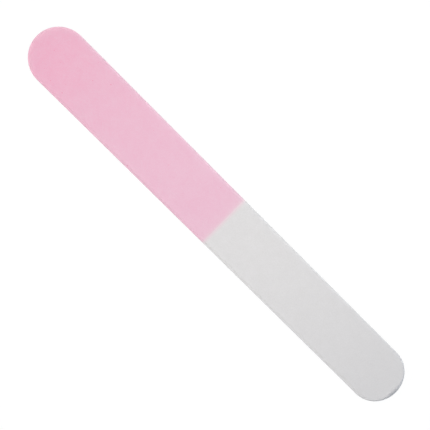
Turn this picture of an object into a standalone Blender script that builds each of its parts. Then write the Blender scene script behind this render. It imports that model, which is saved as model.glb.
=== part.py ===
# Nail buffer board: a plastic core between two foam layers, faced with coated sheets.
# Lengths are in metres. +X runs from the pink end to the white end, +Y goes across the board and
# +Z comes out of its pink and white face. The board rests on its grey back, at Z = 0.

import bmesh
import bpy
from math import cos, pi, sin

# The board as a whole
board_length = 0.178
board_width = 0.0207

# The layers, from the middle outwards
core_thickness = 0.0006
core_edge_round = 0.00008
front_foam_thickness = 0.0012
back_foam_thickness = 0.0012
core_tape_thickness = 0.00008
sheet_tape_thickness = 0.00008
front_sheet_thickness = 0.00025
back_sheet_thickness = 0.00025
bond_clearance = 0.00002
seam_gap = 0.0003

# The rim, where the cutting die has pressed the sheets down into the foam
rim_roll_width = 0.0015
front_rim_drop = 0.0005
back_rim_drop = 0.00025

# How finely the round stretches are stepped
end_arc_steps = 28
rim_roll_steps = 6
rim_roll_power = 3
core_round_steps = 2

# Which side of the board a layer lies on, and which end of it
front, back = 1, -1
pink_end, whole, white_end = -1, 0, 1

# Colour (linear), roughness and metallic value of each piece
finishes = {
    "core_board": ((0.86, 0.86, 0.84), 0.35, 0.0),
    "front_core_tape": ((0.80, 0.79, 0.72), 0.30, 0.0),
    "back_core_tape": ((0.80, 0.79, 0.72), 0.30, 0.0),
    "front_foam": ((0.82, 0.81, 0.80), 0.85, 0.0),
    "back_foam": ((0.82, 0.81, 0.80), 0.85, 0.0),
    "pink_sheet_tape": ((0.80, 0.79, 0.72), 0.30, 0.0),
    "white_sheet_tape": ((0.80, 0.79, 0.72), 0.30, 0.0),
    "grey_sheet_tape": ((0.80, 0.79, 0.72), 0.30, 0.0),
    "pink_smoothing_sheet": ((0.85, 0.47, 0.62), 0.60, 0.0),
    "white_polishing_sheet": ((0.70, 0.70, 0.70), 0.55, 0.0),
    "grey_shining_sheet": ((0.24, 0.25, 0.27), 0.28, 0.0),
}


def clear_scene():
    for old in list(bpy.data.objects):
        bpy.data.objects.remove(old, do_unlink=True)


def new_collection(name):
    collection = bpy.data.collections.new(name)
    bpy.context.scene.collection.children.link(collection)
    return collection


def finish_of(name):
    """A Principled material with the piece's own colour and gloss."""
    colour, roughness, metallic = finishes[name]
    material = bpy.data.materials.new(name)
    material.use_nodes = True
    shader = material.node_tree.nodes["Principled BSDF"]
    shader.inputs["Base Color"].default_value = (*colour, 1)
    shader.inputs["Roughness"].default_value = roughness
    shader.inputs["Metallic"].default_value = metallic
    return material


def board_outline():
    """Points round the board: two straight sides joined by a half circle at each end."""
    radius = board_width / 2
    centre = board_length / 2 - radius
    turns = [pi * step / end_arc_steps for step in range(end_arc_steps + 1)]
    white_arc = [(centre + radius * sin(turn), -radius * cos(turn)) for turn in turns]
    pink_arc = [(-x, -y) for x, y in white_arc]
    return white_arc + pink_arc


def side_faces(blank, side):
    """The faces of the upper side, where side is 1, or of the lower one, where it is -1."""
    return [face for face in blank.faces if face.normal.z * side > 0.5]


def cut_blank(name, thickness):
    """A flat blank in the board's outline, its underside at Z = 0, with one face on each side."""
    curve = bpy.data.curves.new(name, "CURVE")
    curve.dimensions = "2D"
    curve.fill_mode = "BOTH"
    curve.extrude = thickness / 2
    outline = board_outline()
    spline = curve.splines.new("POLY")
    spline.points.add(len(outline) - 1)
    for point, (x, y) in zip(spline.points, outline):
        point.co = (x, y, 0, 1)
    spline.use_cyclic_u = True
    guide = bpy.data.objects.new(name, curve)
    bpy.context.scene.collection.objects.link(guide)
    graph = bpy.context.evaluated_depsgraph_get()
    mesh = bpy.data.meshes.new_from_object(guide.evaluated_get(graph))
    bpy.data.objects.remove(guide)
    bpy.data.curves.remove(curve)

    blank = bmesh.new()
    blank.from_mesh(mesh)
    bpy.data.meshes.remove(mesh)
    bmesh.ops.remove_doubles(blank, verts=blank.verts, dist=bond_clearance)
    bmesh.ops.recalc_face_normals(blank, faces=blank.faces)
    for side in (front, back):
        bmesh.ops.dissolve_faces(blank, faces=side_faces(blank, side))
    bmesh.ops.translate(blank, verts=blank.verts, vec=(0, 0, thickness / 2))
    return blank


def crown(blank, side, swell):
    """Moves the middle of one side along Z by swell from its rim, in steps inwards from the rim."""
    middle = side_faces(blank, side)
    moved = 0
    for step in range(1, rim_roll_steps + 1):
        rise = swell * (1 - (1 - step / rim_roll_steps) ** rim_roll_power)
        bmesh.ops.inset_region(
            blank,
            faces=middle,
            thickness=rim_roll_width / rim_roll_steps,
            depth=(rise - moved) * side,
            use_boundary=True,
            use_even_offset=True,
        )
        moved = rise


def keep_half(blank, end):
    """Keeps the half towards one end of the board and closes its edge beside the seam."""
    cut = bmesh.ops.bisect_plane(
        blank,
        geom=blank.verts[:] + blank.edges[:] + blank.faces[:],
        plane_co=(end * seam_gap / 2, 0, 0),
        plane_no=(-end, 0, 0),
        clear_outer=True,
    )
    edges = [item for item in cut["geom_cut"] if isinstance(item, bmesh.types.BMEdge)]
    bmesh.ops.contextual_create(blank, geom=edges)


def add_piece(collection, name, blank, level):
    """Turns a blank into the named piece, with the underside of its rim at the given level."""
    bmesh.ops.recalc_face_normals(blank, faces=blank.faces)
    mesh = bpy.data.meshes.new(name)
    blank.to_mesh(mesh)
    blank.free()
    mesh.shade_smooth()
    mesh.set_sharp_from_angle(angle=pi / 6)
    mesh.materials.append(finish_of(name))
    piece = bpy.data.objects.new(name, mesh)
    piece.location.z = level
    collection.objects.link(piece)
    return piece


def add_core_board(collection, level):
    """The stiff plastic board in the middle, with the slight round that die cutting leaves."""
    core = add_piece(collection, "core_board", cut_blank("core_board", core_thickness), level)
    rounding = core.modifiers.new("edge_round", "BEVEL")
    rounding.width = core_edge_round
    rounding.segments = core_round_steps
    rounding.limit_method = "ANGLE"
    rounding.angle_limit = pi / 4
    return level + core_thickness + bond_clearance


def add_core_tape(collection, name, level):
    """A flat double-sided tape between the core and a foam layer."""
    add_piece(collection, name, cut_blank(name, core_tape_thickness), level)
    return level + core_tape_thickness + bond_clearance


def add_foam(collection, name, thickness, drop, side, level):
    """Foam with a flat side against the core and a rim pressed down by drop on its outer side."""
    foam = cut_blank(name, thickness - drop)
    crown(foam, side, side * drop)
    add_piece(collection, name, foam, level)
    return level + thickness - drop + bond_clearance


def add_facing(collection, name, thickness, drop, side, level, end=whole):
    """A tape or a coated sheet that follows the foam down at the rim, whole or towards one end."""
    facing = cut_blank(name, thickness)
    crown(facing, front, side * drop)
    crown(facing, back, side * drop)
    if end != whole:
        keep_half(facing, end)
    add_piece(collection, name, facing, level)
    return level + thickness + bond_clearance


def add_back_layers(collection, level):
    drop = back_rim_drop
    level = add_facing(collection, "grey_shining_sheet", back_sheet_thickness, drop, back, level)
    level = add_facing(collection, "grey_sheet_tape", sheet_tape_thickness, drop, back, level)
    level = add_foam(collection, "back_foam", back_foam_thickness, drop, back, level)
    return add_core_tape(collection, "back_core_tape", level)


def add_front_layers(collection, level):
    drop = front_rim_drop
    level = add_core_tape(collection, "front_core_tape", level)
    level = add_foam(collection, "front_foam", front_foam_thickness, drop, front, level)
    for name, end in (("pink_sheet_tape", pink_end), ("white_sheet_tape", white_end)):
        sheet_level = add_facing(collection, name, sheet_tape_thickness, drop, front, level, end)
    for name, end in (("pink_smoothing_sheet", pink_end), ("white_polishing_sheet", white_end)):
        add_facing(collection, name, front_sheet_thickness, drop, front, sheet_level, end)


def build_board():
    collection = new_collection("nail_buffer")
    level = add_back_layers(collection, back_rim_drop)
    level = add_core_board(collection, level)
    add_front_layers(collection, level)


clear_scene()
build_board()
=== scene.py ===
import bmesh
import bpy
from math import cos, pi, radians, sin
from mathutils import Matrix, Vector


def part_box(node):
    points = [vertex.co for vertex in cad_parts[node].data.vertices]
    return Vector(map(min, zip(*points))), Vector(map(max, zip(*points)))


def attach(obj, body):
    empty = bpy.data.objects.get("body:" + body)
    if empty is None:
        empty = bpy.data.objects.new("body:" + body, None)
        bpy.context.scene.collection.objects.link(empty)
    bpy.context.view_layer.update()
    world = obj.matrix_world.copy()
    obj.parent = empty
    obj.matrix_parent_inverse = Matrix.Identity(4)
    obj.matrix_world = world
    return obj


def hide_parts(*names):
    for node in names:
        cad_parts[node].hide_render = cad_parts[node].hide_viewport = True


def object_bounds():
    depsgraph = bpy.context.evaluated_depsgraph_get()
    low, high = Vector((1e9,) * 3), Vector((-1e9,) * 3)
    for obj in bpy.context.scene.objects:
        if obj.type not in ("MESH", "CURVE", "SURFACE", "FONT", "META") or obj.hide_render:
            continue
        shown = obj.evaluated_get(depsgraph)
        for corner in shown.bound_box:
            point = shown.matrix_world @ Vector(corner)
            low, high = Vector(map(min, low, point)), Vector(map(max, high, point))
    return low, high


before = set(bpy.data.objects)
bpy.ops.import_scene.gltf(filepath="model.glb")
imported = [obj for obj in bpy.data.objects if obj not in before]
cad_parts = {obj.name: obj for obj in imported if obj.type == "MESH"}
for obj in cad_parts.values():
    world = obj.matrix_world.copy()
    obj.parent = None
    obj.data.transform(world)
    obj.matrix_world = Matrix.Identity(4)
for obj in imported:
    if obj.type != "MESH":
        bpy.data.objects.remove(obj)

cadLow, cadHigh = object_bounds()
print("frame loaded:", len(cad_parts), "layers of the board")

# sizes that every layer shares; the outline comes from the frame
mm = 0.001
board = {
    "length": cadHigh.x - cadLow.x,
    "width": cadHigh.y - cadLow.y,
    "topLevel": cadHigh.z,
    "sheetThickness": 0.25 * mm,
    # the rolled rim: how far in from the edge a sheet starts to bend down, and a power that keeps the
    # bend near the edge; the sides' bend also goes round the pink end
    "sideRoll": (1.2 * mm, 2.5),
    "whiteShoulderRoll": (0.55 * mm, 2.0),      # beside the nose of the white end
    "whiteNoseRoll": (2.3 * mm, 3.0),           # at that nose, drawn down from further in
    "shoulderRise": 2.5,        # how soon the sides' bend turns into the shoulders' on the way round
    "noseFocus": 13.0,          # higher keeps the nose's bend closer to the very nose
    "faceSpread": 2.2,          # packs the rings of a face towards its rim
    "mergeDistance": 0.002 * mm,
    "sharpAngle": radians(43),
}
frontLow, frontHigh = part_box("pink_smoothing_sheet")
board["frontDrop"] = frontHigh.z - frontLow.z - board["sheetThickness"]     # of the rim below the face
white = (1.0, 1.0, 1.0, 1.0)


# helpers for node trees

class NodeBench:
    # lays nodes out in a tree and feeds each input with a socket or a plain value
    def __init__(self, tree):
        self.tree = tree
        self.count = 0

    def add(self, kind, inputs=None, **settings):
        node = self.tree.nodes.new(kind)
        node.location = (self.count // 5 * 190, -(self.count % 5) * 170)
        self.count += 1
        for name, value in settings.items():
            setattr(node, name, value)
        for key, value in (inputs or {}).items():
            self.feed(node.inputs[key], value)
        return node

    def feed(self, socket, value):
        if isinstance(value, bpy.types.NodeSocket):
            self.tree.links.new(value, socket)
        else:
            socket.default_value = value

    def math(self, operation, *values, clamp=False):
        node = self.add("ShaderNodeMath", operation=operation, use_clamp=clamp)
        for socket, value in zip(node.inputs, values):
            self.feed(socket, value)
        return node.outputs[0]

    def vector(self, operation, *values):
        node = self.add("ShaderNodeVectorMath", operation=operation)
        for socket, value in zip(node.inputs, values):
            self.feed(socket, value)
        return node.outputs["Value" if operation == "LENGTH" else "Vector"]

    def split(self, vector):
        return self.add("ShaderNodeSeparateXYZ", {"Vector": vector}).outputs

    def join(self, x, y, z):
        return self.add("ShaderNodeCombineXYZ", {"X": x, "Y": y, "Z": z}).outputs["Vector"]

    def mixColour(self, factor, first, second, blend="MIX"):
        node = self.add("ShaderNodeMix", data_type="RGBA", blend_type=blend)
        self.feed(node.inputs["Factor"], factor)
        self.feed(node.inputs["A"], first)
        self.feed(node.inputs["B"], second)
        return node.outputs["Result"]


socketKinds = {
    float: "NodeSocketFloat",
    int: "NodeSocketInt",
    bool: "NodeSocketBool",
    tuple: "NodeSocketColor",
    "geometry": "NodeSocketGeometry",
    "material": "NodeSocketMaterial",
    "normal": "NodeSocketVector",
}


def newTree(kind, name, inputs, outputs):
    # inputs is {name: default value or kind word}, outputs {name: kind word or type}
    tree = bpy.data.node_groups.new(name, kind)
    for label, default in inputs.items():
        named = isinstance(default, str)
        socket = tree.interface.new_socket(
            label, in_out="INPUT", socket_type=socketKinds[default if named else type(default)]
        )
        if not named:
            socket.default_value = default
    for label, what in outputs.items():
        tree.interface.new_socket(label, in_out="OUTPUT", socket_type=socketKinds[what])
    bench = NodeBench(tree)
    given = bench.add("NodeGroupInput").outputs
    result = bench.add("NodeGroupOutput").inputs
    return tree, bench, given, result


# geometry node trees

def buildHalfLayerTree():
    # one end of a layer: a profile (face, wall, face) swept round the half outline, closed at the seam
    tree, bench, given, result = newTree("GeometryNodeTree", "Half Layer", {
        "End": 1.0,
        "Length": 0.178, "Width": 0.02,
        "Top": 0.004, "Bottom": 0.0,
        "Top Drop": 0.0, "Bottom Drop": 0.0,
        "Side Roll": 0.0015, "Side Power": 3.0, "Shoulder Roll": 0.0015, "Shoulder Power": 3.0,
        "Nose Roll": 0.0015, "Nose Power": 3.0, "Shoulder Rise": 2.5, "Nose Focus": 12.0,
        "Face Spread": 2.2,
        "Seam Gap": 0.0, "Close Seam": False,
        "Straight Rows": 50, "Arc Rows": 64,
        "Face Rings": 20, "Wall Rings": 1,
    }, {"Geometry": "geometry"})
    math = bench.math
    straight, arc = given["Straight Rows"], given["Arc Rows"]
    face, wall = given["Face Rings"], given["Wall Rings"]
    rowSpans = math("MULTIPLY_ADD", straight, 2.0, arc)
    ringSpans = math("MULTIPLY_ADD", face, 2.0, wall)
    grid = bench.add("GeometryNodeMeshGrid", {
        "Size X": 1.0,
        "Size Y": 1.0,
        "Vertices X": math("ADD", rowSpans, 3.0),
        "Vertices Y": math("ADD", ringSpans, 1.0),
    }).outputs["Mesh"]
    place = bench.split(bench.add("GeometryNodeInputPosition").outputs["Position"])

    # where each row stands on the way round: straight, end arc, straight back
    lastRow = math("ADD", rowSpans, 2.0)
    row = math("MULTIPLY", math("ADD", place["X"], 0.5), lastRow)
    way = math("MINIMUM", math("MAXIMUM", math("SUBTRACT", row, 1.0), 0.0), rowSpans)
    goingOut = math("DIVIDE", way, straight, clamp=True)
    turning = math("DIVIDE", math("SUBTRACT", way, straight), arc, clamp=True)
    pastArc = math("SUBTRACT", math("SUBTRACT", way, straight), arc)
    comingBack = math("DIVIDE", pastArc, straight, clamp=True)
    angle = math("MULTIPLY", turning, pi)

    # where each ring stands on the profile: top face, wall, bottom face
    ring = math("MULTIPLY", math("ADD", place["Y"], 0.5), ringSpans)
    onTop = math("DIVIDE", math("SUBTRACT", face, ring), face, clamp=True)
    pastWall = math("SUBTRACT", math("SUBTRACT", ring, face), wall)
    onBottom = math("DIVIDE", pastWall, face, clamp=True)
    upWall = math("DIVIDE", math("MULTIPLY", pastWall, -1.0), wall, clamp=True)
    radius = math("MULTIPLY", given["Width"], 0.5)
    spread = math("POWER", math("ADD", onTop, onBottom), given["Face Spread"])
    inset = math("MULTIPLY", radius, spread)

    # the rim bends down by its drop, the more the nearer the edge, and in its own way round the tip
    onShoulder = math("MULTIPLY", math("SINE", angle), given["Shoulder Rise"], clamp=True)
    onNose = math("POWER", math("SINE", angle), given["Nose Focus"])

    def roundTip(what):
        # the sides' value blended into the shoulders' and then into the nose's
        side, shoulder, nose = (given[part + what] for part in ("Side ", "Shoulder ", "Nose "))
        turned = math("MULTIPLY_ADD", math("SUBTRACT", shoulder, side), onShoulder, side)
        return math("MULTIPLY_ADD", math("SUBTRACT", nose, turned), onNose, turned)

    flatShare = math("DIVIDE", inset, roundTip("Roll"), clamp=True)
    bend = math("POWER", math("SUBTRACT", 1.0, flatShare), roundTip("Power"))
    top = math("SUBTRACT", given["Top"], math("MULTIPLY", given["Top Drop"], bend))
    bottom = math("SUBTRACT", given["Bottom"], math("MULTIPLY", given["Bottom Drop"], bend))

    # beside a seam the outermost row folds to half height, where its neighbour is, and closes the end
    halfWay = math("MULTIPLY", lastRow, 0.5)
    fromMiddle = math("ABSOLUTE", math("SUBTRACT", row, halfWay))
    outermost = math("GREATER_THAN", fromMiddle, math("SUBTRACT", halfWay, 0.5))
    closing = math("MULTIPLY", outermost, given["Close Seam"])
    middleShare = math("MULTIPLY", closing, 0.5)
    wallShare = math("SUBTRACT", 1.0, closing)
    height = math("MULTIPLY_ADD", upWall, wallShare, middleShare)
    level = math("MULTIPLY_ADD", math("SUBTRACT", top, bottom), height, bottom)

    reach = math("SUBTRACT", radius, inset)
    centre = math("SUBTRACT", math("MULTIPLY", given["Length"], 0.5), radius)
    seam = math("MULTIPLY", given["Seam Gap"], 0.5)
    run = math("MULTIPLY", math("SUBTRACT", centre, seam), math("SUBTRACT", goingOut, comingBack))
    along = math("ADD", math("ADD", seam, run), math("MULTIPLY", reach, math("SINE", angle)))
    across = math("MULTIPLY", reach, math("COSINE", angle))
    position = bench.join(math("MULTIPLY", along, given["End"]), across, level)

    # each point keeps how far it is from the edge, in mm
    marked = bench.add("GeometryNodeStoreNamedAttribute", {
        "Geometry": grid, "Name": "rimInset", "Value": math("DIVIDE", inset, mm),
    }, data_type="FLOAT", domain="POINT").outputs["Geometry"]
    moved = bench.add("GeometryNodeSetPosition", {"Geometry": marked, "Position": position})
    bench.feed(result["Geometry"], moved.outputs["Geometry"])
    return tree


tipRolls = ("Shoulder Roll", "Shoulder Power", "Nose Roll", "Nose Power")      # each end has its own


def buildLayerTree(halfTree):
    # a whole layer is two halves merged along the middle line and, without a seam, across the board
    wallLean = 0.3      # a face whose normal rises less than this is part of the cut wall
    shared = {
        item.name: item.default_value
        for item in halfTree.interface.items_tree if item.in_out == "INPUT" and item.name != "End"
    }
    inputs = {name: value for name, value in shared.items() if name not in tipRolls}
    for label in ("Pink End", "White End"):
        inputs[label] = True
        inputs.update({f"{label} {name}": shared[name] for name in tipRolls})
    inputs.update({"Merge Distance": 0.000002, "Material": "material"})
    outputs = {"Geometry": "geometry"}
    tree, bench, given, result = newTree("GeometryNodeTree", "Board Layer", inputs, outputs)
    joined = bench.add("GeometryNodeJoinGeometry")
    for label, end in (("Pink End", -1.0), ("White End", 1.0)):
        half = bench.add("GeometryNodeGroup", node_tree=halfTree)
        own = {"End": end, **{name: given[f"{label} {name}"] for name in tipRolls}}
        for socket in half.inputs:
            bench.feed(socket, own[socket.name] if socket.name in own else given[socket.name])
        chosen = bench.add("GeometryNodeSwitch", {
            "Switch": given[label], "True": half.outputs["Geometry"],
        })
        tree.links.new(chosen.outputs["Output"], joined.inputs["Geometry"])
    merged = bench.add("GeometryNodeMergeByDistance", {
        "Geometry": joined.outputs["Geometry"], "Distance": given["Merge Distance"],
    })
    facing = bench.split(bench.add("GeometryNodeInputNormal").outputs["Normal"])
    upright = bench.math("LESS_THAN", bench.math("ABSOLUTE", facing["Z"]), wallLean)
    marked = bench.add("GeometryNodeStoreNamedAttribute", {
        "Geometry": merged.outputs["Geometry"], "Name": "cutFace", "Value": upright,
    }, data_type="FLOAT", domain="FACE")
    finishTree(bench, marked.outputs["Geometry"], given["Material"], result)
    return tree


def buildFoamCellTree():
    # opens the bubbles that the die cut through, and draws the foam in between its glued faces
    poreRatio = 2.3             # how many times finer the pores are than the cells
    poreShare = 0.4             # how deep they are beside the cells
    steepness = 1.7             # higher leaves wider walls between the bubbles
    wallInset = 0.001           # in mm: only points this close to the edge move
    tree, bench, given, result = newTree("GeometryNodeTree", "Foam Cells", {
        "Geometry": "geometry",
        "Length": 0.178, "Width": 0.02, "Bottom": 0.0, "Top": 0.001,
        "Cell Size": 0.0002, "Cell Depth": 0.00006, "Waist": 0.00005,
        "Material": "material",
    }, {"Geometry": "geometry"})
    math = bench.math
    position = bench.add("GeometryNodeInputPosition").outputs["Position"]
    place = bench.split(position)
    centre = math("MULTIPLY", math("SUBTRACT", given["Length"], given["Width"]), 0.5)
    spine = math("MAXIMUM", math("MINIMUM", place["X"], centre), math("MULTIPLY", centre, -1.0))
    outward = bench.vector("NORMALIZE", bench.join(math("SUBTRACT", place["X"], spine), place["Y"], 0.0))

    wide = bench.add("ShaderNodeTexVoronoi", {
        "Vector": position, "Scale": math("DIVIDE", 1.0, given["Cell Size"]), "Randomness": 1.0,
    }).outputs["Distance"]
    fine = bench.add("ShaderNodeTexVoronoi", {
        "Vector": position, "Scale": math("DIVIDE", poreRatio, given["Cell Size"]), "Randomness": 1.0,
    }).outputs["Distance"]
    cup = math("SUBTRACT", 1.0, math("MULTIPLY", wide, steepness), clamp=True)
    pore = math("SUBTRACT", 1.0, math("MULTIPLY", fine, steepness), clamp=True)
    hollow = math("MULTIPLY", math("MULTIPLY_ADD", pore, poreShare, cup), given["Cell Depth"])
    thickness = math("SUBTRACT", given["Top"], given["Bottom"])
    rise = math("DIVIDE", math("SUBTRACT", place["Z"], given["Bottom"]), thickness)
    drawn = math("MULTIPLY", math("SINE", math("MULTIPLY", rise, pi)), given["Waist"])
    depth = math("ADD", hollow, math("MAXIMUM", drawn, 0.0))
    inset = bench.add("GeometryNodeInputNamedAttribute", {"Name": "rimInset"}, data_type="FLOAT")
    onWall = bench.math("LESS_THAN", inset.outputs["Attribute"], wallInset)
    moved = bench.add("GeometryNodeSetPosition", {
        "Geometry": given["Geometry"],
        "Selection": onWall,
        "Offset": bench.vector("MULTIPLY", outward, bench.join(*[math("MULTIPLY", depth, -1.0)] * 3)),
    })
    finishTree(bench, moved.outputs["Geometry"], given["Material"], result)
    return tree


def buildGrainTree():
    # sows low nibs of mineral over the flat of a coated sheet, on its side beyond the level
    flatness = 0.6                  # a face is flat enough where its normal rises more than this
    smallest, largest = 0.5, 1.4    # as shares of the grain size
    tree, bench, given, result = newTree("GeometryNodeTree", "Coating Grains", {
        "Geometry": "geometry",
        "Side": 1.0, "Level": 0.0, "Density": 1000000.0,
        "Grain Size": 0.00004, "Grain Height": 0.5, "Seed": 1,
        "Material": "material",
    }, {"Geometry": "geometry"})
    math = bench.math
    place = bench.split(bench.add("GeometryNodeInputPosition").outputs["Position"])
    facing = bench.split(bench.add("GeometryNodeInputNormal").outputs["Normal"])
    above = math("SUBTRACT", place["Z"], given["Level"])
    outside = math("GREATER_THAN", math("MULTIPLY", above, given["Side"]), 0.0)
    lying = math("GREATER_THAN", math("ABSOLUTE", facing["Z"]), flatness)
    points = bench.add("GeometryNodeDistributePointsOnFaces", {
        "Mesh": given["Geometry"],
        "Selection": math("MULTIPLY", outside, lying),
        "Density": given["Density"],
        "Seed": given["Seed"],
    }, distribute_method="RANDOM")
    bare = bench.add("GeometryNodeRemoveAttribute", {
        "Geometry": points.outputs["Points"], "Name": "cutFace",
    })
    grain = bench.add("GeometryNodeMeshIcoSphere", {"Radius": 1.0, "Subdivisions": 1})
    size = randomValue(bench, smallest, largest, given["Seed"])
    turn = randomValue(bench, 0.0, 2 * pi, math("ADD", given["Seed"], 1.0))
    wide = math("MULTIPLY", size, given["Grain Size"])
    sown = bench.add("GeometryNodeInstanceOnPoints", {
        "Points": bare.outputs["Geometry"],
        "Instance": grain.outputs["Mesh"],
        "Rotation": bench.join(0.0, 0.0, turn),
        "Scale": bench.join(wide, wide, math("MULTIPLY", wide, given["Grain Height"])),
    })
    joined = bench.add("GeometryNodeJoinGeometry", {"Geometry": sown.outputs["Instances"]})
    tree.links.new(given["Geometry"], joined.inputs["Geometry"])
    finishTree(bench, joined.outputs["Geometry"], given["Material"], result)
    return tree


def buildSpeckTree():
    # puts one coarse grain on each point of the object it is used on, as large as the point's share says
    longness = 1.4      # how much longer than wide a grain is
    tree, bench, given, result = newTree("GeometryNodeTree", "Coarse Specks", {
        "Geometry": "geometry", "Speck Size": 0.00012, "Speck Height": 0.25, "Seed": 1,
        "Material": "material",
    }, {"Geometry": "geometry"})
    points = bench.add("GeometryNodeMeshToPoints", {"Mesh": given["Geometry"]})
    grain = bench.add("GeometryNodeMeshIcoSphere", {"Radius": 1.0, "Subdivisions": 2})
    share = bench.add("GeometryNodeInputNamedAttribute", {"Name": "sizeShare"}, data_type="FLOAT")
    turn = randomValue(bench, 0.0, 2 * pi, given["Seed"])
    wide = bench.math("MULTIPLY", share.outputs["Attribute"], given["Speck Size"])
    long = bench.math("MULTIPLY", wide, longness)
    lying = bench.add("GeometryNodeInstanceOnPoints", {
        "Points": points.outputs["Points"],
        "Instance": grain.outputs["Mesh"],
        "Rotation": bench.join(0.0, 0.0, turn),
        "Scale": bench.join(long, wide, bench.math("MULTIPLY", wide, given["Speck Height"])),
    })
    finishTree(bench, lying.outputs["Instances"], given["Material"], result)
    return tree


def randomValue(bench, low, high, seed):
    node = bench.add("FunctionNodeRandomValue", data_type="FLOAT")
    node.inputs[2].default_value = low
    node.inputs[3].default_value = high
    bench.feed(node.inputs["Seed"], seed)
    return node.outputs[1]


def finishTree(bench, geometry, material, result):
    real = bench.add("GeometryNodeRealizeInstances", {"Geometry": geometry})
    coated = bench.add("GeometryNodeSetMaterial", {
        "Geometry": real.outputs["Geometry"], "Material": material,
    })
    bench.feed(result["Geometry"], coated.outputs["Geometry"])


def useTree(piece, tree, values):
    # a modifier takes its inputs by the sockets' identifiers
    modifier = piece.modifiers.new(tree.name, "NODES")
    modifier.node_group = tree
    sockets = {
        item.name: item.identifier for item in tree.interface.items_tree if item.in_out == "INPUT"
    }
    for label, value in values.items():
        modifier[sockets[label]] = value


def newPiece(name, data=None):
    piece = bpy.data.objects.new(name, data or bpy.data.meshes.new(name))
    bpy.context.scene.collection.objects.link(piece)
    return piece


def settle(piece):
    # swaps the modifiers for their result: a plain mesh with its faces pointing out
    graph = bpy.context.evaluated_depsgraph_get()
    mesh = bpy.data.meshes.new_from_object(piece.evaluated_get(graph))
    mesh.name = piece.name
    piece.modifiers.clear()
    piece.data = mesh
    work = bmesh.new()
    work.from_mesh(mesh)
    bmesh.ops.recalc_face_normals(work, faces=work.faces)
    work.to_mesh(mesh)
    work.free()
    mesh.shade_smooth()
    mesh.set_sharp_from_angle(angle=board["sharpAngle"])


halfTree = buildHalfLayerTree()
layerTree = buildLayerTree(halfTree)
cellTree = buildFoamCellTree()
grainTree = buildGrainTree()
speckTree = buildSpeckTree()
print("geometry trees ready")


# shader groups

def fromScreen(red, green, blue):
    # a colour as picked from the screen (0 to 255), made linear
    def linear(value):
        value = value / 255
        return value / 12.92 if value <= 0.04045 else ((value + 0.055) / 1.055) ** 2.4
    return (linear(red), linear(green), linear(blue), 1.0)


def scaledPlace(bench, size):
    # object coordinates in units of size
    coordinate = bench.add("ShaderNodeTexCoord").outputs["Object"]
    return bench.vector("DIVIDE", coordinate, bench.join(size, size, size))


def noise(bench, size, detail, roughness):
    return bench.add("ShaderNodeTexNoise", {
        "Vector": scaledPlace(bench, size), "Scale": 1.0, "Detail": detail, "Roughness": roughness,
    }).outputs["Fac"]


def buildMottleGroup():
    # uneven coating: broad clouds, a fine mottle, grain and grit, as a colour and as a height
    cloudShare, grainShare, gritShare = 0.35, 0.9, 0.5      # how strong they are beside the mottle
    denseLevel = 0.875          # up to this sum of them the coating is dense
    gritHeight = 0.6            # how high the grit is beside the grain
    tree, bench, given, result = newTree("ShaderNodeTree", "Coating Mottle", {
        "Color": (0.8, 0.8, 0.8, 1.0), "Thin Color": (0.9, 0.9, 0.9, 1.0), "Amount": 0.3,
        "Cloud Size": 0.004, "Mottle Size": 0.001, "Grain Size": 0.0001, "Grit Size": 0.00006,
    }, {"Color": tuple, "Height": float, "Cloud": float})
    cloud = noise(bench, given["Cloud Size"], detail=3.0, roughness=0.55)
    mottle = noise(bench, given["Mottle Size"], detail=4.0, roughness=0.9)
    grain = noise(bench, given["Grain Size"], detail=2.0, roughness=0.7)
    grit = noise(bench, given["Grit Size"], detail=1.0, roughness=0.5)
    coarse = bench.math("MULTIPLY_ADD", grain, grainShare, mottle)
    fine = bench.math("MULTIPLY_ADD", grit, gritShare, coarse)
    excess = bench.math("SUBTRACT", bench.math("MULTIPLY_ADD", cloud, cloudShare, fine), denseLevel)
    thin = bench.math("MULTIPLY", excess, given["Amount"], clamp=True)
    bench.feed(result["Color"], bench.mixColour(thin, given["Color"], given["Thin Color"]))
    bench.feed(result["Height"], bench.math("MULTIPLY_ADD", grit, gritHeight, grain))
    bench.feed(result["Cloud"], cloud)
    return tree


def buildWearAndLightGroup():
    # the coating is thin and rubbed along the cut, so the backing shows through, more in some places; where
    # a sheet sets it stronger on one side, the extra paleness is painted light: painted sheen on a lit rim,
    # and a painted lift of a rim in shade
    closeness = 3.0             # higher keeps the paleness nearer to the cut
    contrast, offset = 1.6, -0.1        # of its patches
    tree, bench, given, result = newTree("ShaderNodeTree", "Edge Wear And Painted Light", {
        "Color": (0.8, 0.8, 0.8, 1.0), "Backing": (0.9, 0.9, 0.9, 1.0),
        "Distance": 1.0, "Wear And Light Width": 3.0, "Amount": 0.5, "Patch Size": 0.0008,
    }, {"Color": tuple})
    patches = noise(bench, given["Patch Size"], detail=4.0, roughness=0.6)
    inwards = bench.math("DIVIDE", given["Distance"], given["Wear And Light Width"])
    near = bench.math("POWER", bench.math("SUBTRACT", 1.0, inwards, clamp=True), closeness)
    broken = bench.math("MULTIPLY", near, bench.math("MULTIPLY_ADD", patches, contrast, offset, clamp=True))
    wearAndLightMix = bench.math("MULTIPLY", broken, given["Amount"], clamp=True)
    bench.feed(result["Color"], bench.mixColour(wearAndLightMix, given["Color"], given["Backing"]))
    return tree


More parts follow.
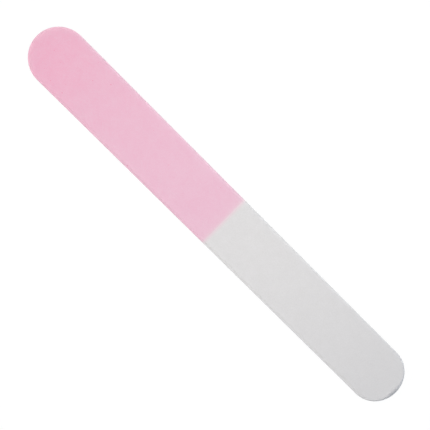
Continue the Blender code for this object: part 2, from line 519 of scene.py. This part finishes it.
def buildSeamGroup():
    # each coating is feathered into the other one where the two sheets meet
    raggedSize = 0.5 * mm
    narrowest, spread = 0.7, 0.6        # the fade's own width varies, from this share up by that much
    steepness = 2.6             # higher keeps the fade nearer to the seam
    tailWidths, tailPower = 4.0, 2.0    # the faint part that reaches further out
    tree, bench, given, result = newTree("ShaderNodeTree", "Seam Fade", {
        "Color": (0.8, 0.8, 0.8, 1.0), "Other Color": (0.8, 0.8, 0.8, 1.0),
        "Distance": 1.0, "Fade Width": 1.5, "Share": 0.5, "Tail": 0.0,
    }, {"Color": tuple})
    ragged = noise(bench, raggedSize, detail=3.0, roughness=0.7)
    share = bench.math("MULTIPLY_ADD", ragged, spread, narrowest)
    widths = bench.math("DIVIDE", given["Distance"], bench.math("MULTIPLY", given["Fade Width"], share))
    near = bench.math("POWER", bench.math("SUBTRACT", 1.0, widths, clamp=True), steepness)
    further = bench.math("MULTIPLY_ADD", widths, -1 / tailWidths, 1.0, clamp=True)
    tail = bench.math("POWER", further, tailPower)
    both = bench.math("MULTIPLY_ADD", bench.math("SUBTRACT", tail, near), given["Tail"], near)
    fade = bench.math("MULTIPLY", both, given["Share"])
    bench.feed(result["Color"], bench.mixColour(fade, given["Color"], given["Other Color"]))
    return tree


def buildDustGroup():
    # filing dust that settles in broad, faint drifts
    contrast, offset = 2.5, -0.9        # of the drifts
    matting = 0.4               # how much rougher a full layer of dust makes the surface
    tree, bench, given, result = newTree("ShaderNodeTree", "Filing Dust", {
        "Color": (0.8, 0.8, 0.8, 1.0), "Dust Color": (0.9, 0.89, 0.87, 1.0),
        "Roughness": 0.5, "Amount": 0.1, "Drift Size": 0.01,
    }, {"Color": tuple, "Roughness": float})
    drift = noise(bench, given["Drift Size"], detail=6.0, roughness=0.65)
    drifted = bench.math("MULTIPLY_ADD", drift, contrast, offset, clamp=True)
    lying = bench.math("MULTIPLY", drifted, given["Amount"])
    matt = bench.math("MULTIPLY_ADD", lying, matting, given["Roughness"], clamp=True)
    bench.feed(result["Color"], bench.mixColour(lying, given["Color"], given["Dust Color"]))
    bench.feed(result["Roughness"], matt)
    return tree


mottleGroup = buildMottleGroup()
wearAndLightGroup = buildWearAndLightGroup()
seamGroup = buildSeamGroup()
dustGroup = buildDustGroup()


# materials

def newMaterial(name):
    material = bpy.data.materials.new(name)
    material.use_nodes = True
    material.node_tree.nodes.clear()
    bench = NodeBench(material.node_tree)
    output = bench.add("ShaderNodeOutputMaterial")
    shader = bench.add("ShaderNodeBsdfPrincipled")
    bench.feed(output.inputs["Surface"], shader.outputs["BSDF"])
    return material, bench, shader


def useGroup(bench, tree, values):
    return bench.add("ShaderNodeGroup", values, node_tree=tree).outputs


def attribute(bench, name):
    return bench.add("ShaderNodeAttribute", attribute_name=name).outputs["Fac"]


def bump(bench, height, distance):
    return bench.add("ShaderNodeBump", {
        "Height": height, "Distance": distance, "Strength": 1.0,
    }).outputs["Normal"]


def mottled(bench, look, colour=None):
    # a look's mottle, over its own colour or over the given one
    return useGroup(bench, mottleGroup, {
        "Color": look["colour"] if colour is None else colour,
        "Thin Color": look["thinColour"], "Amount": look["mottle"], "Cloud Size": look["cloudSize"],
        "Mottle Size": look["mottleSize"], "Grain Size": look["grainSize"],
    })


def coatedSheetMaterial(name, look):
    material, bench, shader = newMaterial(name)
    coordinate = bench.add("ShaderNodeTexCoord").outputs["Object"]
    place = bench.split(coordinate)
    fromMiddle = bench.math("ABSOLUTE", place["X"])
    alongHalf = bench.math("DIVIDE", fromMiddle, board["length"] / 2, clamp=True)
    towardsTip = bench.math("POWER", alongHalf, look["tipFocus"])
    # a soft spot of another colour; on the white sheet this spot is painted shade on the nose
    fromSpot = bench.vector("LENGTH", bench.vector("SUBTRACT", coordinate, look["spotPlace"]))
    spot = bench.add("ShaderNodeMapRange", {
        "Value": fromSpot, "From Min": look["spotInner"], "From Max": look["spotReach"],
        "To Min": look["spotShare"], "To Max": 0.0,
    }, interpolation_type="SMOOTHSTEP").outputs["Result"]
    # towards the end the colour turns to the tip's colour; on the pink sheet that is painted shade for the
    # light falling off
    even = bench.mixColour(towardsTip, look["colour"], look["tipColour"])
    coat = mottled(bench, look, bench.mixColour(spot, even, look["spotColour"]))
    faded = useGroup(bench, seamGroup, {
        "Color": coat["Color"], "Other Color": look["otherColour"],
        "Distance": bench.math("DIVIDE", fromMiddle, mm),
        "Fade Width": look["fadeWidth"], "Share": look["fadeShare"], "Tail": look["fadeTail"],
    })
    # the paleness along the cut is wear on both sides, with painted sheen on the lit +Y side and, on the
    # white sheet, painted light on the -Y rim
    minusWearAndLight, plusWearAndSheen = look["wearAndPaintedLight"]
    side = bench.math("MULTIPLY_ADD", place["Y"], 1 / board["width"], 0.5, clamp=True)
    wearAndLightAmount = bench.math("MULTIPLY_ADD", side, plusWearAndSheen - minusWearAndLight, minusWearAndLight)
    edge = attribute(bench, "rimInset")
    if look["seamWear"]:
        edge = bench.math("MINIMUM", edge, bench.math("DIVIDE", fromMiddle, mm * look["seamWear"]))
    wearAndLightMix = useGroup(bench, wearAndLightGroup, {
        "Color": faded["Color"], "Backing": look["backing"], "Distance": edge,
        "Wear And Light Width": look["wearAndLightWidth"], "Amount": wearAndLightAmount, "Patch Size": look["patchSize"],
    })
    cut = attribute(bench, "cutFace")
    colour = bench.mixColour(cut, wearAndLightMix["Color"], look["backing"])
    dusty = useGroup(bench, dustGroup, {
        "Color": colour, "Roughness": look["roughness"], "Amount": look["dust"],
    })
    bench.feed(shader.inputs["Base Color"], dusty["Color"])
    bench.feed(shader.inputs["Roughness"], dusty["Roughness"])
    bench.feed(shader.inputs["Normal"], bump(bench, coat["Height"], look["relief"]))
    shader.inputs["Specular IOR Level"].default_value = look["specular"]
    return material


def foamMaterial(look):
    # painted shade: darker in the middle of each cell, down in its hollow, than along the walls between
    # them
    material, bench, shader = newMaterial("cushionFoam")
    skin = mottled(bench, look)["Color"]
    cells = bench.add("ShaderNodeTexVoronoi", {
        "Vector": scaledPlace(bench, look["cellSize"]), "Scale": 1.0,
    }).outputs["Distance"]
    walls = bench.math("MULTIPLY_ADD", cells, look["wallRise"], look["wallStart"], clamp=True)
    inside = bench.mixColour(look["cellShade"], skin, look["thinColour"])
    dusty = useGroup(bench, dustGroup, {
        "Color": bench.mixColour(walls, inside, skin),
        "Roughness": look["roughness"], "Amount": look["dust"],
    })
    bench.feed(shader.inputs["Base Color"], dusty["Color"])
    bench.feed(shader.inputs["Roughness"], dusty["Roughness"])
    bench.feed(shader.inputs["Normal"], bump(bench, cells, look["relief"]))
    shader.inputs["Specular IOR Level"].default_value = look["specular"]
    return material


def coreMaterial(look):
    # die-cut plastic: fine upright drag marks along its edge
    material, bench, shader = newMaterial("corePlastic")
    coordinate = bench.add("ShaderNodeTexCoord").outputs["Object"]
    stretched = bench.add("ShaderNodeMapping", {
        "Vector": coordinate,
        "Scale": (1 / look["dragSpacing"], 1 / look["dragSpacing"], 1 / look["dragLength"]),
    }).outputs["Vector"]
    drag = bench.add("ShaderNodeTexNoise", {
        "Vector": stretched, "Scale": 1.0, "Detail": 2.0,
    }).outputs["Fac"]
    rough = bench.math("MULTIPLY_ADD", drag, look["roughnessSpread"], look["roughness"])
    bench.feed(shader.inputs["Base Color"], mottled(bench, look)["Color"])
    bench.feed(shader.inputs["Roughness"], rough)
    bench.feed(shader.inputs["Normal"], bump(bench, drag, look["relief"]))
    return material


def tapeMaterial(look):
    # clear film whose sticky edge picks up lint
    material, bench, shader = newMaterial("adhesiveTape")
    film = mottled(bench, look)
    linty = useGroup(bench, dustGroup, {
        "Color": film["Color"], "Roughness": look["roughness"],
        "Amount": look["lint"], "Drift Size": look["lintSize"],
    })
    bench.feed(shader.inputs["Base Color"], linty["Color"])
    bench.feed(shader.inputs["Roughness"], linty["Roughness"])
    bench.feed(shader.inputs["Normal"], bump(bench, film["Height"], look["relief"]))
    return material


def speckMaterial(look):
    material, bench, shader = newMaterial("coarseGrain")
    grain = mottled(bench, look)
    rough = bench.math("MULTIPLY_ADD", grain["Cloud"], look["roughnessSpread"], look["roughness"])
    bench.feed(shader.inputs["Base Color"], grain["Color"])
    bench.feed(shader.inputs["Roughness"], rough)
    bench.feed(shader.inputs["Normal"], bump(bench, grain["Height"], look["relief"]))
    return material


# coated sheets

def layerValues(node, thickness, drop, values):
    # levels come from the node's box; drop is how far its rim lies below its middle, or, where it is
    # negative, above it
    low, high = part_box(node)
    front = drop > 0
    top = high.z if front else low.z + thickness
    plain = board["sideRoll"] * 2
    drawn = board["whiteShoulderRoll"] + board["whiteNoseRoll"] if front else plain
    return {
        "Length": board["length"],
        "Width": board["width"],
        "Top": top,
        "Bottom": top - thickness,
        "Side Roll": board["sideRoll"][0],
        "Side Power": board["sideRoll"][1],
        **{"Pink End " + name: value for name, value in zip(tipRolls, plain)},
        **{"White End " + name: value for name, value in zip(tipRolls, drawn)},
        "Shoulder Rise": board["shoulderRise"],
        "Nose Focus": board["noseFocus"],
        "Face Spread": board["faceSpread"],
        "Merge Distance": board["mergeDistance"],
        **values,
    }


def makeSheet(sheet):
    low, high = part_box(sheet["node"])
    drop = (high.z - low.z - sheet["thickness"]) * sheet["side"]
    material = coatedSheetMaterial(sheet["material"], sheet["look"])
    piece = newPiece(sheet["name"])
    values = layerValues(sheet["node"], sheet["thickness"], drop, {
        "Top Drop": drop, "Bottom Drop": drop,
        **sheet["mesh"],
        "Seam Gap": sheet["seamGap"], "Close Seam": sheet["half"],
        "Pink End": sheet["pinkEnd"], "White End": sheet["whiteEnd"],
        "Material": material,
    })
    useTree(piece, layerTree, values)
    middle = (values["Top"] + values["Bottom"]) / 2
    underRim = abs(drop) + sheet["thickness"] / 4       # the rim's outer face lies beyond this too
    useTree(piece, grainTree, {
        "Side": float(sheet["side"]),
        "Level": middle - underRim * sheet["side"],
        "Density": sheet["grainsPerSquareMm"] / mm ** 2,
        "Grain Size": sheet["grainSize"],
        "Grain Height": sheet["grainHeight"],
        "Seed": sheet["seed"],
        "Material": material,
    })
    settle(piece)
    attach(piece, "root")
    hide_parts(sheet["node"])
    print(sheet["name"], "made:", len(piece.data.polygons), "faces")


pinkSheet = {
    "name": "pink_coated_sheet",
    "node": "pink_smoothing_sheet",
    "slot": "pink_coated_sheet",
    "material": "pinkCoating",
    "side": 1,                  # 1 faces up, -1 down
    "thickness": board["sheetThickness"],
    "half": True,               # it ends at the seam
    "pinkEnd": True,
    "whiteEnd": False,
    "seamGap": 0.008 * mm,      # the two sheets butt, with a hairline between them
    "mesh": {"Straight Rows": 60, "Arc Rows": 80, "Face Rings": 24, "Wall Rings": 2},
    "grainsPerSquareMm": 1.6,
    "grainSize": 0.035 * mm,
    "grainHeight": 0.5,         # as a share of the size
    "seed": 4,
    "look": {
        "colour": fromScreen(229, 171, 194),
        "tipColour": fromScreen(237, 162, 189),     # painted shade: deeper pink towards the end, standing in for the light falling off there
        "tipFocus": 1.5,            # higher keeps that colour nearer to the end
        "thinColour": fromScreen(236, 214, 223),    # where the coating is thin
        "mottle": 0.56,
        "cloudSize": 3.0 * mm,
        "mottleSize": 0.6 * mm,
        "grainSize": 0.25 * mm,
        # a soft spot of another colour, full up to its inner radius and gone at its reach
        "spotPlace": (-80 * mm, -3.5 * mm, 4 * mm),
        "spotInner": 0.0,
        "spotReach": 22 * mm,
        "spotShare": 0.6,
        "spotColour": fromScreen(240, 157, 187),
        # the fade into the other coating at the seam
        "otherColour": fromScreen(226, 220, 218),
        "fadeWidth": 2.0,           # in mm
        "fadeShare": 0.5,
        "fadeTail": 0.22,           # how much of it reaches further out
        # wear along the cut, where the backing shows, together with painted sheen on the lit +Y rim
        "backing": fromScreen(246, 236, 240),
        "wearAndLightWidth": 3.0,           # in mm
        "patchSize": 0.35 * mm,
        "wearAndPaintedLight": (0.12, 0.34),       # along the -Y side and along the +Y side; the +Y side's extra is painted sheen of the lit rim
        "seamWear": 0.2,            # the worn strip beside the seam, as a share of the width above
        "dust": 0.05,
        "roughness": 0.62,
        "relief": 0.012 * mm,
        "specular": 0.35,
    },
}
whiteSheet = {
    **pinkSheet,
    "name": "white_coated_sheet",
    "node": "white_polishing_sheet",
    "slot": "white_coated_sheet",
    "material": "whiteCoating",
    "pinkEnd": False,
    "whiteEnd": True,
    "grainsPerSquareMm": 1.3,
    "grainSize": 0.028 * mm,
    "seed": 9,
    "look": {
        **pinkSheet["look"],
        "colour": fromScreen(209, 206, 204),
        "tipColour": fromScreen(211, 209, 209),
        "thinColour": fromScreen(227, 225, 225),
        "mottle": 0.92,
        # painted shade: a grey crescent at the nose, deepening the shade where the rolled rim turns away
        # from the lamps
        "spotPlace": (93 * mm, -1.7 * mm, 3.5 * mm),
        "spotInner": 4.1 * mm,
        "spotReach": 6.0 * mm,
        "spotShare": 0.8,
        "spotColour": fromScreen(95, 100, 108),
        "otherColour": fromScreen(242, 186, 204),
        "fadeShare": 0.42,
        "fadeTail": 0.0,
        "backing": fromScreen(230, 231, 233),
        # the +Y side's extra is painted sheen of the lit rim; the -Y side is set above the pink sheet's as
        # painted light on a rim in shade
        "wearAndPaintedLight": (0.24, 0.34),
        "roughness": 0.55,
        "relief": 0.009 * mm,
    },
}
greySheet = {
    **pinkSheet,
    "name": "grey_coated_sheet",
    "node": "grey_shining_sheet",
    "slot": "grey_coated_sheet",
    "material": "greyCoating",
    "side": -1,
    "half": False,
    "whiteEnd": True,
    "seamGap": 0.0,
    "grainsPerSquareMm": 0.4,
    "grainSize": 0.015 * mm,
    "seed": 15,
    "look": {
        **pinkSheet["look"],
        "colour": fromScreen(132, 135, 140),
        "tipColour": fromScreen(130, 133, 138),
        "thinColour": fromScreen(150, 153, 157),
        "mottle": 0.25,
        "spotShare": 0.0,
        "fadeShare": 0.0,
        "backing": fromScreen(205, 206, 208),
        "wearAndLightWidth": 1.2,
        "wearAndPaintedLight": (0.5, 0.5),
        "seamWear": 0.0,
        "roughness": 0.30,
        "relief": 0.003 * mm,
        "specular": 0.5,
    },
}
for sheet in (pinkSheet, whiteSheet, greySheet):
    makeSheet(sheet)


# foam cushions

foam = {
    "cellDepth": 0.07 * mm,
    "waist": 0.05 * mm,         # how far its walls are drawn in between the glued faces
    "fill": 0.9,
    "slot": "cushion_foam",
    "mesh": {"Straight Rows": 430, "Arc Rows": 180, "Face Rings": 8, "Wall Rings": 12},
    "look": {
        "colour": fromScreen(238, 236, 233),
        # the thin colour is also the painted shade down in the cells
        "thinColour": fromScreen(196, 192, 188),
        "mottle": 0.25,
        "cloudSize": 3 * mm,
        "mottleSize": 0.6 * mm,
        "grainSize": 0.06 * mm,
        "cellSize": 0.24 * mm,      # of the cut cells in the walls too
        "cellShade": 0.55,          # how much of the thin colour the middle of a cell takes, as painted shade in its hollow
        "wallRise": 1.5,            # how fast the colour turns towards the wall of a cell
        "wallStart": 0.1,
        "dust": 0.15,
        "roughness": 0.85,
        "relief": 0.02 * mm,
        "specular": 0.3,
    },
}


def makeFoam(name, node, side, material):
    low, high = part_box(node)
    piece = newPiece(name)
    sheetLow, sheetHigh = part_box("pink_smoothing_sheet" if side > 0 else "grey_shining_sheet")
    drop = sheetHigh.z - sheetLow.z - board["sheetThickness"]
    topDrop, bottomDrop = (drop, 0.0) if side > 0 else (0.0, drop)
    useTree(piece, layerTree, layerValues(node, high.z - low.z, drop * side, {
        "Top Drop": topDrop, "Bottom Drop": -bottomDrop,
        **foam["mesh"],
        "Material": material,
    }))
    useTree(piece, cellTree, {
        "Length": board["length"], "Width": board["width"],
        "Bottom": low.z + bottomDrop, "Top": high.z - topDrop,
        "Cell Size": foam["look"]["cellSize"], "Cell Depth": foam["cellDepth"], "Waist": foam["waist"],
        "Material": material,
    })
    settle(piece)
    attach(piece, "root")
    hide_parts(node)
    print(name, "made:", len(piece.data.polygons), "faces")


foamFinish = foamMaterial(foam["look"])
makeFoam("front_foam_cushion", "front_foam", 1, foamFinish)
makeFoam("back_foam_cushion", "back_foam", -1, foamFinish)


# core board and tapes, kept from the frame

core = {
    "colour": fromScreen(240, 240, 238),
    "thinColour": fromScreen(222, 222, 220),
    "mottle": 0.3,
    "cloudSize": 6 * mm,
    "mottleSize": 1 * mm,
    "grainSize": 0.3 * mm,
    "dragSpacing": 0.12 * mm,
    "dragLength": 8 * mm,
    "roughness": 0.3,
    "roughnessSpread": 0.3,     # how much rougher a drag mark can be
    "relief": 0.02 * mm,
}
tape = {
    "colour": fromScreen(228, 225, 214),
    "thinColour": fromScreen(206, 201, 186),
    "mottle": 0.5,
    "cloudSize": 2 * mm,
    "mottleSize": 0.5 * mm,
    "grainSize": 0.1 * mm,
    "lint": 0.5,
    "lintSize": 1.5 * mm,
    "roughness": 0.35,
    "relief": 0.01 * mm,
}


def refinish(node, material):
    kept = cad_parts[node]
    kept.data.materials.clear()
    kept.data.materials.append(material)


refinish("core_board", coreMaterial(core))
tapeFinish = tapeMaterial(tape)
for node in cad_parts:
    if node.endswith("_tape"):
        refinish(node, tapeFinish)
print("core board and tapes finished")


# camera

camera = {
    "imageSize": 430,
    "sensor": 36.0,
    "lens": 106.57,
    "distance": 0.4405,
    "tilt": radians(11.30),     # leans towards the pink end
    "roll": radians(44.80),     # turns the board's length down to the right
    "slideRight": -0.00268,     # where the board lies in the image, in metres at its distance
    "slideUp": 0.00191,
    "target": Vector((0, 0, 0.00199)),
    "clip": (0.01, 20.0),
}


def cameraAxes():
    tilt, roll = camera["tilt"], camera["roll"]
    right = Vector((cos(tilt) * cos(roll), sin(roll), sin(tilt) * cos(roll)))
    up = Vector((-cos(tilt) * sin(roll), cos(roll), -sin(tilt) * sin(roll)))
    return right, up, right.cross(up)


def makeCamera():
    right, up, back = cameraAxes()
    data = bpy.data.cameras.new("studioCamera")
    data.sensor_width = camera["sensor"]
    data.lens = camera["lens"]
    data.clip_start, data.clip_end = camera["clip"]
    holder = newPiece("studioCamera", data)
    holder.matrix_world = Matrix((right, up, back)).transposed().to_4x4()
    holder.location = (
        camera["target"] + back * camera["distance"]
        + right * camera["slideRight"] + up * camera["slideUp"]
    )
    bpy.context.scene.camera = holder


def onFrontFace(column, line):
    # the point of the front face that shows at that pixel of the image, lower where the rim bends down
    right, up, back = cameraAxes()
    eye = bpy.context.scene.camera.location
    focal = camera["lens"] / camera["sensor"] * camera["imageSize"]
    half = camera["imageSize"] / 2
    ray = right * (column - half) / focal + up * (half - line) / focal - back
    flat = eye + ray * ((board["topLevel"] - eye.z) / ray.z)
    radius = board["width"] / 2
    centre = board["length"] / 2 - radius
    beyond = max(abs(flat.x) - centre, 0)
    inset = radius - (beyond ** 2 + flat.y ** 2) ** 0.5
    width, power = board["sideRoll"]
    bend = max(1 - inset / width, 0) ** power
    return eye + ray * ((board["topLevel"] - board["frontDrop"] * bend - eye.z) / ray.z)


makeCamera()


# coarse specks caught in the pink coating

specks = {
    "size": 0.15 * mm,
    "height": 0.08,             # as a share of its width
    "seed": 21,
    # column and line of the image, and share of the size
    "places": [
        (54.5, 50.4, 0.62), (60.6, 62.6, 0.50), (50.5, 80.7, 0.66), (65.6, 84.2, 0.50),
        (62.2, 92.8, 0.80), (92.9, 80.5, 0.75), (98.4, 62.5, 0.37), (110.9, 84.7, 0.88),
        (127.7, 165.8, 1.05), (168.8, 164.9, 0.6), (220.6, 187.5, 0.52), (153.5, 130.5, 0.45),
        (44.5, 68.5, 0.42), (130.5, 95.5, 0.42),
    ],
    "look": {
        "colour": fromScreen(233, 114, 158),
        "thinColour": fromScreen(222, 94, 144),
        "mottle": 0.6,
        "cloudSize": 0.4 * mm,
        "mottleSize": 0.1 * mm,
        "grainSize": 0.04 * mm,
        "roughness": 0.4,
        "roughnessSpread": 0.3,
        "relief": 0.01 * mm,
    },
}


def makeSpecks():
    mesh = bpy.data.meshes.new("pinkSpeckPoints")
    mesh.from_pydata([onFrontFace(column, line) for column, line, _ in specks["places"]], [], [])
    shares = mesh.attributes.new("sizeShare", "FLOAT", "POINT")
    shares.data.foreach_set("value", [share for _, _, share in specks["places"]])
    piece = newPiece("pink_coating_specks", mesh)
    useTree(piece, speckTree, {
        "Speck Size": specks["size"], "Speck Height": specks["height"], "Seed": specks["seed"],
        "Material": speckMaterial(specks["look"]),
    })
    settle(piece)
    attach(piece, "root")
    print("specks set:", len(specks["places"]))


makeSpecks()


# floor, lamps and world

studio = {
    "floorSize": 6.0,
    "floorDrop": 0.02 * mm,
    "floorCells": 4,
    "floorColour": (0.86, 0.86, 0.86, 1.0),
    "lint": 0.02,
    "lintSize": 2.5 * mm,
    "shadowShare": 0.075,       # how much of the floor's own light the camera sees near the board
    "shadowReach": (0.10, 0.35),                # from where that share fades, and where it is gone
    "glow": 1.02,               # the brightness that the camera sees in place of the rest
    "above": (0.045, 0.048, 0.055, 1.0),        # the dim room over the table
    "below": (0.80, 0.80, 0.80, 1.0),           # as pale as the floor, so that the back gets light too
    "lamps": {
        "topSoftbox": {"place": (-0.005, 0.0225, 0.22), "size": (0.25, 0.25), "power": 0.44},
        "endSoftbox": {"place": (-1.059, -0.386, 0.648), "size": (0.7, 0.7), "power": 8.2},
        "plusSoftbox": {"place": (-0.112, 1.282, 0.188), "size": (0.9, 0.5), "power": 6.1},
        "minusSoftbox": {"place": (-0.112, -1.282, 0.181), "size": (0.9, 0.5), "power": 3.3},
        "coolFill": {
            "place": (1.20, 0.45, 0.25), "size": (0.6, 0.4), "power": 2.5, "colour": (0.46, 0.72, 1.0),
        },
    },
}


def seenDirectly(bench):
    path = bench.add("ShaderNodeLightPath").outputs
    shiny = bench.math("MAXIMUM", path["Is Glossy Ray"], path["Is Transmission Ray"])
    return bench.math("MAXIMUM", path["Is Camera Ray"], shiny)


def makeFloor():
    # light bounces off a plain pale floor, while the camera sees white with a faint shadow
    material = bpy.data.materials.new("paleFloor")
    material.use_nodes = True
    material.node_tree.nodes.clear()
    bench = NodeBench(material.node_tree)
    output = bench.add("ShaderNodeOutputMaterial")
    seen = seenDirectly(bench)
    coordinate = bench.add("ShaderNodeTexCoord").outputs["Object"]
    near = bench.add("ShaderNodeMapRange", {
        "Value": bench.vector("LENGTH", coordinate),
        "From Min": studio["shadowReach"][0], "From Max": studio["shadowReach"][1],
        "To Min": studio["shadowShare"], "To Max": 0.0,
    }, interpolation_type="SMOOTHSTEP").outputs["Result"]
    share = bench.math("MULTIPLY_ADD", seen, bench.math("SUBTRACT", near, 1.0), 1.0)
    fine = bench.add("ShaderNodeTexNoise", {
        "Vector": coordinate, "Scale": 1 / studio["lintSize"], "Detail": 2.0,
    }).outputs["Fac"]
    tone = bench.mixColour(bench.math("MULTIPLY", fine, studio["lint"]), studio["floorColour"], white)
    own = bench.add("ShaderNodeBsdfDiffuse", {
        "Color": bench.mixColour(1.0, tone, bench.join(share, share, share), "MULTIPLY"),
    })
    missing = bench.math("MULTIPLY_ADD", near, -studio["floorColour"][0], studio["glow"])
    glow = bench.add("ShaderNodeEmission", {"Strength": bench.math("MULTIPLY", seen, missing)})
    both = bench.add("ShaderNodeAddShader", {0: own.outputs["BSDF"], 1: glow.outputs["Emission"]})
    bench.feed(output.inputs["Surface"], both.outputs["Shader"])

    half, cells = studio["floorSize"] / 2, studio["floorCells"]
    lowered = Matrix.Translation((0, 0, cadLow.z - studio["floorDrop"]))
    mesh = bpy.data.meshes.new("studioFloor")
    work = bmesh.new()
    bmesh.ops.create_grid(work, x_segments=cells, y_segments=cells, size=half, matrix=lowered)
    work.to_mesh(mesh)
    work.free()
    mesh.materials.append(material)
    newPiece("studio_floor", mesh)


def makeLamp(name, lamp):
    data = bpy.data.lights.new(name, "AREA")
    data.shape = "RECTANGLE"
    data.size, data.size_y = lamp["size"]
    data.energy = lamp["power"]
    data.color = lamp.get("colour", (1, 1, 1))
    holder = newPiece(name, data)
    place = Vector(lamp["place"])
    holder.rotation_mode = "QUATERNION"
    holder.rotation_quaternion = (-place).to_track_quat("-Z", "Y")      # they all aim at the board's middle
    holder.location = place


def makeWorld():
    # the board gets its light from a dim room, while the camera sees white
    world = bpy.data.worlds.new("softStudio")
    bpy.context.scene.world = world
    world.use_nodes = True
    world.node_tree.nodes.clear()
    bench = NodeBench(world.node_tree)
    seen = seenDirectly(bench)
    direction = bench.split(bench.add("ShaderNodeTexCoord").outputs["Generated"])
    under = bench.math("LESS_THAN", direction["Z"], 0.0)
    room = bench.mixColour(under, studio["above"], studio["below"])
    backdrop = bench.add("ShaderNodeBackground", {
        "Color": bench.mixColour(seen, room, white), "Strength": 1.0,
    })
    output = bench.add("ShaderNodeOutputWorld")
    bench.feed(output.inputs["Surface"], backdrop.outputs["Background"])


makeFloor()
for name, lamp in studio["lamps"].items():
    makeLamp(name, lamp)
makeWorld()
bpy.context.scene.view_settings.view_transform = "Standard"
print("studio ready")
